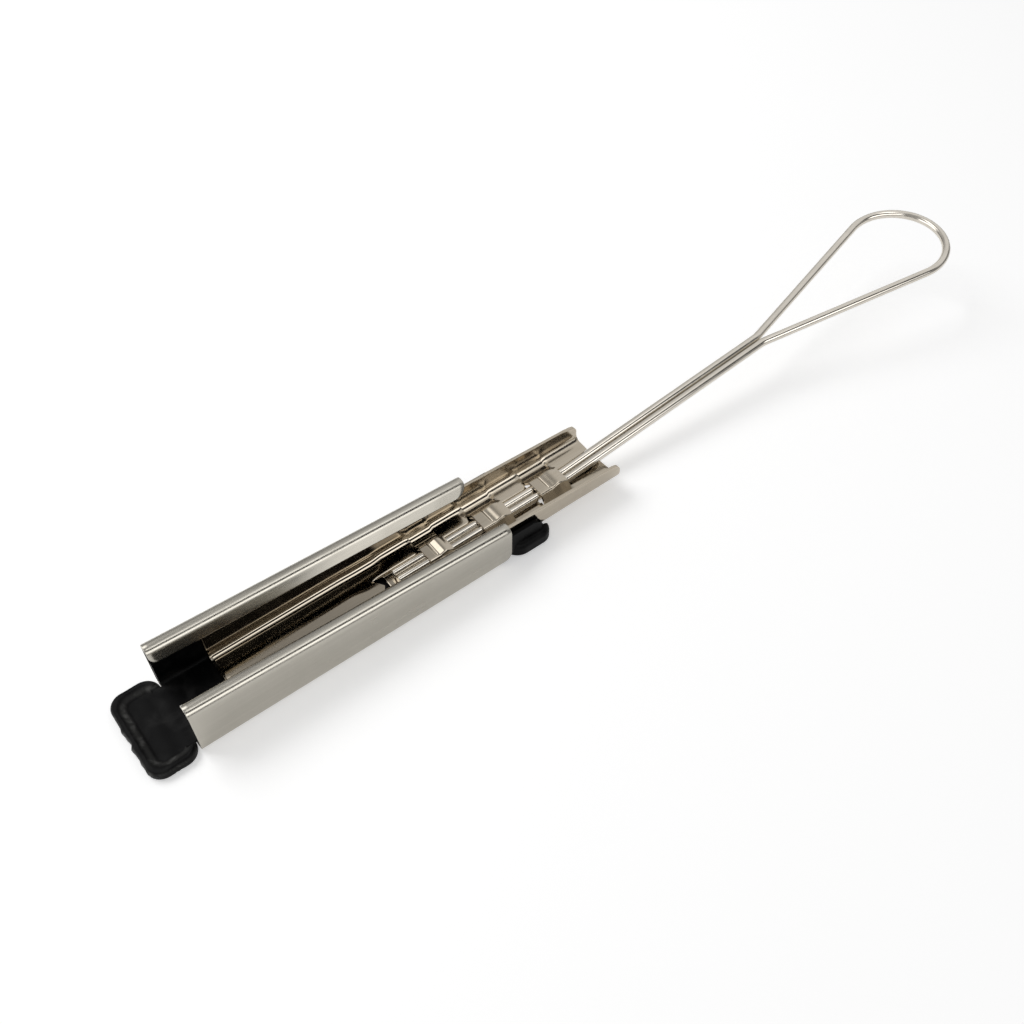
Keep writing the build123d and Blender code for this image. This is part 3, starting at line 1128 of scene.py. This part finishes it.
@dataclass
class Bail:
    """Wire that runs under the straps, rises, forks and closes in a round loop."""

    wire: float = 2.4
    leg_y: float = 1.25
    start_u: float = 46.6
    bend_u: float = 100.1524
    axis_w: float = 0.55
    rise: float = 6.9
    bend: float = 16.0
    bend_steps: int = 6
    straight: float = 72.4
    fork: float = 13.1
    fork_bend: float = 12.0
    fork_steps: int = 8
    loop: float = 14.3
    loop_steps: int = 34
    sides: int = 28
    end_places: tuple[float, ...] = (0.0, 0.12, 0.3)
    end_girths: tuple[float, ...] = (0.8, 0.95, 1.0)

    @staticmethod
    def corner(
        corner: Vector, way_in: Vector, way_out: Vector, radius: float, steps: int
    ) -> list[Vector]:
        """Points of a round bend between two straight runs.

        Args:
            corner: where the runs would meet.
            way_in: direction of the first run.
            way_out: direction of the second run.
            radius: the bend's radius.
            steps: number of steps round it.

        Returns:
            The bend's points, in order.
        """
        turn = way_in.angle(way_out)
        reach = radius * math.tan(turn / 2)
        inward = (way_out - way_in).normalized()
        centre = corner + inward * (radius / math.cos(turn / 2))
        start = corner - way_in * reach - centre
        side = way_in * radius
        turns = arc(0, math.degrees(turn), steps)
        return [centre + start * cosine + side * sine for cosine, sine in turns]

    def half_line(self, wedge: Wedge, side: int) -> list[Vector]:
        """Middle of the wire from its cut end to the loop, on one side.

        Args:
            wedge: the wedge that carries the wire.
            side: 1 or -1.

        Returns:
            Points in millimetres.
        """
        tilt, rise, fork = (math.radians(angle) for angle in (wedge.tilt, self.rise, self.fork))
        leg = Vector((math.cos(tilt), 0, math.sin(tilt)))
        up = Vector((math.cos(rise), 0, math.sin(rise)))
        out = up * math.cos(fork) + Vector((0, side * math.sin(fork), 0))
        foot = Vector(wedge.at(self.bend_u, 0, self.axis_w))
        offset = Vector((0, side * self.leg_y, 0))
        begin = Vector(wedge.at(self.start_u, 0, self.axis_w)) + offset
        centre = self.straight + (self.loop / math.cos(fork) - self.leg_y) / math.tan(fork)
        line = [begin + leg * place for place in self.end_places]
        line += self.corner(foot + offset, leg, up, self.bend, self.bend_steps)
        line += self.corner(foot + up * self.straight + offset, up, out, self.fork_bend, self.fork_steps)
        for cosine, sine in arc(90 + self.fork, 0, self.loop_steps):
            reach = up * (centre + self.loop * cosine)
            line.append(foot + reach + Vector((0, side * self.loop * sine, 0)))
        return line

    def tree(self, finish: bpy.types.Material) -> bpy.types.GeometryNodeTree:
        """Node tree that draws round wire along a line.

        Args:
            finish: the wire's material.

        Returns:
            A tree with Radius and Sides inputs.
        """
        tree = bpy.data.node_groups.new("round_wire", "GeometryNodeTree")
        face = tree.interface
        face.new_socket(name="Line", in_out="INPUT", socket_type="NodeSocketGeometry")
        face.new_socket(name="Radius", in_out="INPUT", socket_type="NodeSocketFloat")
        face.new_socket(name="Sides", in_out="INPUT", socket_type="NodeSocketInt")
        face.new_socket(name="Wire", in_out="OUTPUT", socket_type="NodeSocketGeometry")
        kit = NodeKit(tree)
        given, result = kit.add("NodeGroupInput").outputs, kit.add("NodeGroupOutput").inputs
        ring = kit.add("GeometryNodeCurvePrimitiveCircle")
        kit.feed(ring.inputs["Radius"], given["Radius"])
        kit.feed(ring.inputs["Resolution"], given["Sides"])
        draw = kit.add("GeometryNodeCurveToMesh")
        kit.feed(draw.inputs["Curve"], given["Line"])
        kit.feed(draw.inputs["Profile Curve"], ring.outputs[0])
        kit.feed(draw.inputs["Scale"], kit.add("GeometryNodeInputRadius").outputs[0])
        draw.inputs["Fill Caps"].default_value = True
        real = kit.add("GeometryNodeRealizeInstances")
        kit.feed(real.inputs[0], draw.outputs[0])
        paint = kit.add("GeometryNodeSetMaterial")
        kit.feed(paint.inputs[0], real.outputs[0])
        paint.inputs["Material"].default_value = finish
        kit.feed(result["Wire"], paint.outputs[0])
        return tree

    def middle_line(self, wedge: Wedge) -> bpy.types.Object:
        """Lay the middle of the whole wire as a curve, thinner at its cut ends.

        Args:
            wedge: the wedge that carries it.

        Returns:
            The linked curve.
        """
        line = self.half_line(wedge, 1) + self.half_line(wedge, -1)[-2::-1]
        curve = bpy.data.curves.new("bail_line", "CURVE")
        curve.dimensions = "3D"
        spline = curve.splines.new("POLY")
        spline.points.add(len(line) - 1)
        for index, (knot, place) in enumerate(zip(spline.points, line)):
            knot.co = (*(place * MM), 1.0)
            from_end = min(index, len(line) - 1 - index, len(self.end_girths) - 1)
            knot.radius = self.end_girths[from_end]
        return link("bail_line", curve)

    def build(self, wedge: Wedge, finish: bpy.types.Material) -> bpy.types.Object:
        """Make the wire.

        Args:
            wedge: the wedge that carries it.
            finish: its material.

        Returns:
            The piece as a plain mesh.
        """
        holder = self.middle_line(wedge)
        tree = self.tree(finish)
        draw = holder.modifiers.new("round_wire", "NODES")
        draw.node_group = tree
        sizes = {"Radius": self.wire / 2 * MM, "Sides": self.sides}
        for item in tree.interface.items_tree:
            if item.in_out == "INPUT" and item.name in sizes:
                draw[item.identifier] = sizes[item.name]
        bpy.context.view_layer.update()
        graph = bpy.context.evaluated_depsgraph_get()
        data = bpy.data.meshes.new_from_object(holder.evaluated_get(graph), depsgraph=graph)
        data.name = "bail_skin"
        bpy.data.objects.remove(holder)
        for polygon in data.polygons:
            polygon.use_smooth = len(polygon.vertices) < self.sides
        return link("bail_skin", data)


@dataclass
class Liner:
    """Black moulding that lines the shell, with a dished tab at one end and a foot at the other."""

    edge: float = 0.2
    edge_angle: float = 40.0
    tab_start: float = -55.0
    tab_end: float = -43.15
    tab_floor: float = 1.3
    tab_wave: float = 0.06
    # Heights in millimetres between which a painted sheen greys the tab's slopes.
    sheen_low: float = 1.5
    sheen_low_run: float = 0.35
    sheen_high: float = 2.35
    sheen_high_run: float = 0.4
    exit_x: float = 43.1
    wall_top: float = 8.4
    wall_trim: float = 0.6
    grain: float = 0.7
    grain_rounds: int = 4
    torn_rim: float = 0.8
    # Place across the tab, reach and width of each spur; a tear has a negative reach.
    spurs: tuple[Point, ...] = ((3.3, 0.3, 0.5), (-2.6, 0.6, 0.45), (-0.4, -0.25, 0.9))
    fray: float = 0.12

    def ragged(self, y: float) -> float:
        """How far flash and tears move the tab's end.

        Args:
            y: place across the tab.

        Returns:
            The distance, outwards.
        """
        reach = self.fray * math.sin(5.1 * y) * math.sin(2.3 * y + 1.0)
        reach *= ease((y + 10.5) / 2.0) * ease((4.5 - y) / 2.0)
        for place, height, width in self.spurs:
            reach += height * math.exp(-(((y - place) / width) ** 2))
        return reach

    def painted_sheen(self, place: Vector) -> float:
        """How much painted sheen greys one point of the tab's slopes.

        Args:
            place: the moulded point in millimetres.

        Returns:
            0 where no sheen is painted and 1 where the painted sheen is strongest.
        """
        if place.x > self.tab_end:
            return 0.0
        above = ease((place.z - self.sheen_low) / self.sheen_low_run)
        return above * ease((self.sheen_high - place.z) / self.sheen_high_run)

    def worn(self, place: Vector) -> Vector:
        """Where one point of the moulding ends up after wear.

        Args:
            place: the moulded point in millimetres.

        Returns:
            The worn point in millimetres.
        """
        x, y, z = place
        if x > self.exit_x and z > self.wall_top:
            z -= self.wall_trim
        if x < self.tab_end and z > self.tab_floor:
            inner = ease((x - self.tab_start) / 2.5) * ease((self.tab_end - x) / 2.0)
            z += self.tab_wave * inner * math.sin(0.9 * x + 0.5 * y) * math.sin(0.6 * y - 0.4 * x)
        torn = self.tab_start + self.torn_rim
        if x < torn:
            x -= self.ragged(y) * ease((torn - x) / self.torn_rim)
        return Vector((x, y, z))

    def refine(self, form: bmesh.types.BMesh) -> None:
        """Cut the tab's long edges until the wear has points to move, and dissolve slivers.

        Args:
            form: the moulded form, in metres.
        """
        for _ in range(self.grain_rounds):
            long_edges = []
            for edge in form.edges:
                on_tab = max(vertex.co.x for vertex in edge.verts) < self.tab_end * MM
                if on_tab and edge.calc_length() > self.grain * MM:
                    long_edges.append(edge)
            bmesh.ops.subdivide_edges(form, edges=long_edges, cuts=1)
            bmesh.ops.triangulate(form, faces=[face for face in form.faces if len(face.verts) > 3])
        bmesh.ops.dissolve_degenerate(form, dist=SLIVER, edges=form.edges)
        bmesh.ops.triangulate(form, faces=[face for face in form.faces if len(face.verts) > 3])

    def build(self, node: bpy.types.Object) -> bpy.types.Object:
        """Make the worn moulding from the moulded form.

        Args:
            node: the moulding's own node.

        Returns:
            The piece, with soft edges.
        """
        form = bmesh.new()
        form.from_mesh(node.data)
        form.transform(node.matrix_world)
        bmesh.ops.remove_doubles(form, verts=form.verts, dist=WELD)
        self.refine(form)
        # Painted sheen on the tab's slopes, kept as a vertex attribute for the finish.
        layer = form.verts.layers.float.new("painted_sheen")
        for vertex in form.verts:
            place = vertex.co / MM
            vertex[layer] = self.painted_sheen(place)
            vertex.co = self.worn(place) * MM
        piece = smooth_object(form, "liner_skin")
        soften(piece, self.edge, self.edge_angle)
        return piece


@dataclass(frozen=True)
class SoftRange:
    """Range of degrees with soft ends."""

    start: float
    end: float
    start_run: float
    end_run: float

    def share(self, angle: float) -> float:
        """1 well inside the range and 0 outside it."""
        return ease((angle - self.start) / self.start_run) * ease((self.end - angle) / self.end_run)


@dataclass(frozen=True)
class Card:
    """Pale card or dark flag, by its degrees round from +X and above the floor; a glow of 1 is white."""

    glow: float
    turn: SoftRange
    rise: SoftRange

    def over(self, glow: float, turn: float, rise: float) -> float:
        """Glow in one direction once the card stands in front of another glow.

        Args:
            glow: what is behind the card.
            turn: degrees round from +X.
            rise: degrees above the floor.

        Returns:
            The glow that is seen.
        """
        return glow + (self.glow - glow) * self.turn.share(turn) * self.rise.share(rise)


@dataclass
class Studio:
    """Pale floor, soft lamp, cards for the reflections, and the camera; sizes are in metres."""

    focal_px: float = 1056.5
    frame_px: float = 1024.0
    sensor_mm: float = 36.0
    clip_start: float = 0.005
    camera_place: Point = (-0.05629, -0.13903, 0.21216)
    camera_pitch: float = 50.0
    camera_yaw: float = 37.89
    floor_half: float = 3.0
    floor_steps: int = 8
    floor_level: float = -0.00005
    floor_tone: float = 0.86
    floor_rough: float = 0.9
    floor_lift: float = 0.40
    room_light: float = 0.42
    lamp_place: Point = (-0.25, 0.55, 0.75)
    lamp_target: Point = (0.06, 0.0, 0.0)
    lamp_size: tuple[float, float] = (0.7, 0.5)
    lamp_watts: float = 4.2
    dome_reach: float = 0.9
    dome_middle: float = 0.06
    dome_rise: tuple[float, float] = (0.5, 89.5)
    dome_steps: tuple[int, int] = (120, 60)

    def camera(self) -> None:
        """Set the camera at the photograph's angle."""
        lens = bpy.data.cameras.new("camera")
        lens.sensor_width = self.sensor_mm
        lens.lens = self.sensor_mm * self.focal_px / self.frame_px
        lens.clip_start = self.clip_start
        holder = link("camera", lens)
        holder.location = self.camera_place
        holder.rotation_euler = (math.radians(90 - self.camera_pitch), 0, math.radians(-self.camera_yaw))
        bpy.context.scene.camera = holder

    @staticmethod
    def seen(kit: NodeKit) -> bpy.types.NodeSocket:
        """Tell rays that show a surface from rays that carry its light on.

        Args:
            kit: the material's or world's node kit.

        Returns:
            1 for camera, glossy and transmission rays, and 0 for others.
        """
        path = kit.add("ShaderNodeLightPath").outputs
        shown = kit.maths("ADD", path["Is Camera Ray"], path["Is Glossy Ray"])
        return kit.maths("ADD", shown, path["Is Transmission Ray"])

    def floor(self) -> None:
        """Lay the pale floor."""
        sheet = SheetMesh()
        marks = spread(-self.floor_half / MM, self.floor_half / MM, self.floor_steps)
        sheet.patch([[(x, y, self.floor_level / MM) for y in marks] for x in marks])
        floor = sheet.finish("floor")
        material, kit, shader = new_material("pale_floor")
        shader.inputs["Base Color"].default_value = (*(self.floor_tone,) * 3, 1.0)
        shader.inputs["Roughness"].default_value = self.floor_rough
        shader.inputs["Specular IOR Level"].default_value = 0.0
        lift = kit.add("ShaderNodeEmission")
        kit.feed(lift.inputs["Strength"], kit.maths("MULTIPLY", self.seen(kit), self.floor_lift))
        both = kit.add("ShaderNodeAddShader")
        kit.feed(both.inputs[0], shader.outputs[0])
        kit.feed(both.inputs[1], lift.outputs[0])
        kit.feed(kit.tree.nodes["Material Output"].inputs["Surface"], both.outputs[0])
        floor.data.materials.append(material)

    def sky(self) -> None:
        """Hang even pale surroundings that look white and light the clamp softly."""
        world = bpy.data.worlds.new("pale_room")
        bpy.context.scene.world = world
        world.use_nodes = True
        kit = NodeKit(world.node_tree)
        ground = world.node_tree.nodes["Background"]
        ground.inputs["Color"].default_value = (1.0, 1.0, 1.0, 1.0)
        kit.feed(ground.inputs["Strength"], kit.remap(self.seen(kit), self.room_light, 1.0))

    def lamp(self) -> None:
        """Hang the soft lamp."""
        data = bpy.data.lights.new("key", "AREA")
        data.shape = "RECTANGLE"
        data.size, data.size_y = self.lamp_size
        data.energy = self.lamp_watts
        holder = link("key", data)
        holder.location = self.lamp_place
        way = Vector(self.lamp_target) - Vector(self.lamp_place)
        holder.rotation_euler = way.to_track_quat("-Z", "Y").to_euler()

    @staticmethod
    def card_glow(turn: float, rise: float) -> float:
        """Brightness of the cards round the clamp in one direction.

        Args:
            turn: degrees round from +X.
            rise: degrees above the floor.

        Returns:
            The card's glow; 1 is white.
        """
        glow = 0.42 + 0.5 * ease((72.0 - abs(turn - 10.0)) / 44.0)
        front = SoftRange(-150.0, 6.0, 14.0, 14.0)
        all_round = SoftRange(-360.0, 360.0, 1.0, 1.0)
        strip_top = 31.0 + 14.0 * ease((-53.0 - turn) / 8.0)
        strip_glow = 0.25 + 0.8 * ease((-57.0 - turn) / 8.0)
        key = Card(2.3, SoftRange(90.0, 142.0, 12.0, 12.0), SoftRange(38.0, 74.0, 8.0, 8.0))
        low_strip = Card(strip_glow, front, SoftRange(9.0, strip_top, 4.0, 7.0))
        entry_strip = Card(
            2.6, SoftRange(-150.0, -56.0, 14.0, 6.0), SoftRange(14.0, strip_top, 14.0, 7.0)
        )
        high_strip = Card(2.3, front, SoftRange(62.0, 82.0, 7.0, 8.0))
        flag = Card(
            0.012, SoftRange(-124.0, -30.0, 10.0, 10.0), SoftRange(strip_top - 2.0, 64.0, 4.0, 4.0)
        )
        horizon = Card(0.14, all_round, SoftRange(-90.0, 11.0, 4.0, 4.0))
        left = Card(2.4, SoftRange(112.0, 178.0, 12.0, 8.0), SoftRange(-90.0, 34.0, 8.0, 8.0))
        for card in (key, low_strip, entry_strip, high_strip, flag, horizon, left):
            glow = card.over(glow, turn, rise)
        return glow

    def cards(self) -> None:
        """Stand pale cards and dark flags round the clamp, which only its polish shows."""
        reach = self.dome_reach / MM
        middle = self.dome_middle / MM
        rows = []
        glows = []
        for turn in spread(-180, 180, self.dome_steps[0]):
            row = []
            for rise in spread(*self.dome_rise, self.dome_steps[1]):
                around, above = math.radians(turn), math.radians(rise)
                out = reach * math.cos(above)
                place = (middle + out * math.cos(around), out * math.sin(around), reach * math.sin(above))
                row.append(place)
                glows.append(self.card_glow(turn, rise))
            rows.append(row)
        sheet = SheetMesh()
        sheet.patch(rows)
        layer = sheet.mesh.verts.layers.float.new("glow")
        sheet.mesh.verts.ensure_lookup_table()
        for vertex, glow in zip(sheet.mesh.verts, glows):
            vertex[layer] = glow
        card = sheet.finish("cards")
        material, kit, shader = new_material("studio_card")
        kit.tree.nodes.remove(shader)
        shine = kit.add("ShaderNodeEmission")
        source = kit.add("ShaderNodeAttribute", attribute_name="glow")
        kit.feed(shine.inputs["Strength"], source.outputs["Fac"])
        kit.feed(kit.tree.nodes["Material Output"].inputs["Surface"], shine.outputs[0])
        card.data.materials.append(material)
        card.visible_camera = False
        card.visible_diffuse = False
        card.visible_shadow = False

    def build(self) -> None:
        """Set up the whole studio."""
        bpy.context.scene.view_settings.view_transform = "Standard"
        self.camera()
        self.floor()
        self.sky()
        self.cards()
        self.lamp()


def dress(piece: bpy.types.Object, finish: bpy.types.Material, body: Body, node: str) -> None:
    """Give a piece its finish, its body and the node it stands for.

    Args:
        piece: the piece.
        finish: its material.
        body: the body it rides on.
        node: the CAD node it replaces.
    """
    piece.data.materials.clear()
    piece.data.materials.append(finish)
    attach(piece, body.value)
    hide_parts(node)
    LOG.info("%s stands for %s on %s", piece.name, node, body.value)


def main() -> None:
    """Build the studio and every piece in order, and log which node each piece stands for."""
    logging.basicConfig(level=logging.INFO, format="%(name)s: %(message)s")
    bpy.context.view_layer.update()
    Studio().build()
    library = EffectLibrary()
    wedge = Wedge()
    dress(Shell().build(), SHELL_STEEL.build(library), Body.HOUSING, "shell")
    dress(wedge.build(), WEDGE_STEEL.build(library), Body.SLIDER, "wedge")
    wire = WIRE_STEEL.build(library)
    dress(Bail().build(wedge, wire), wire, Body.SLIDER, "bail_wire")
    liner = Liner().build(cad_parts["liner"])
    dress(liner, LINER_BLACK.build(library), Body.HOUSING, "liner")


if __name__ == "__main__":
    main()
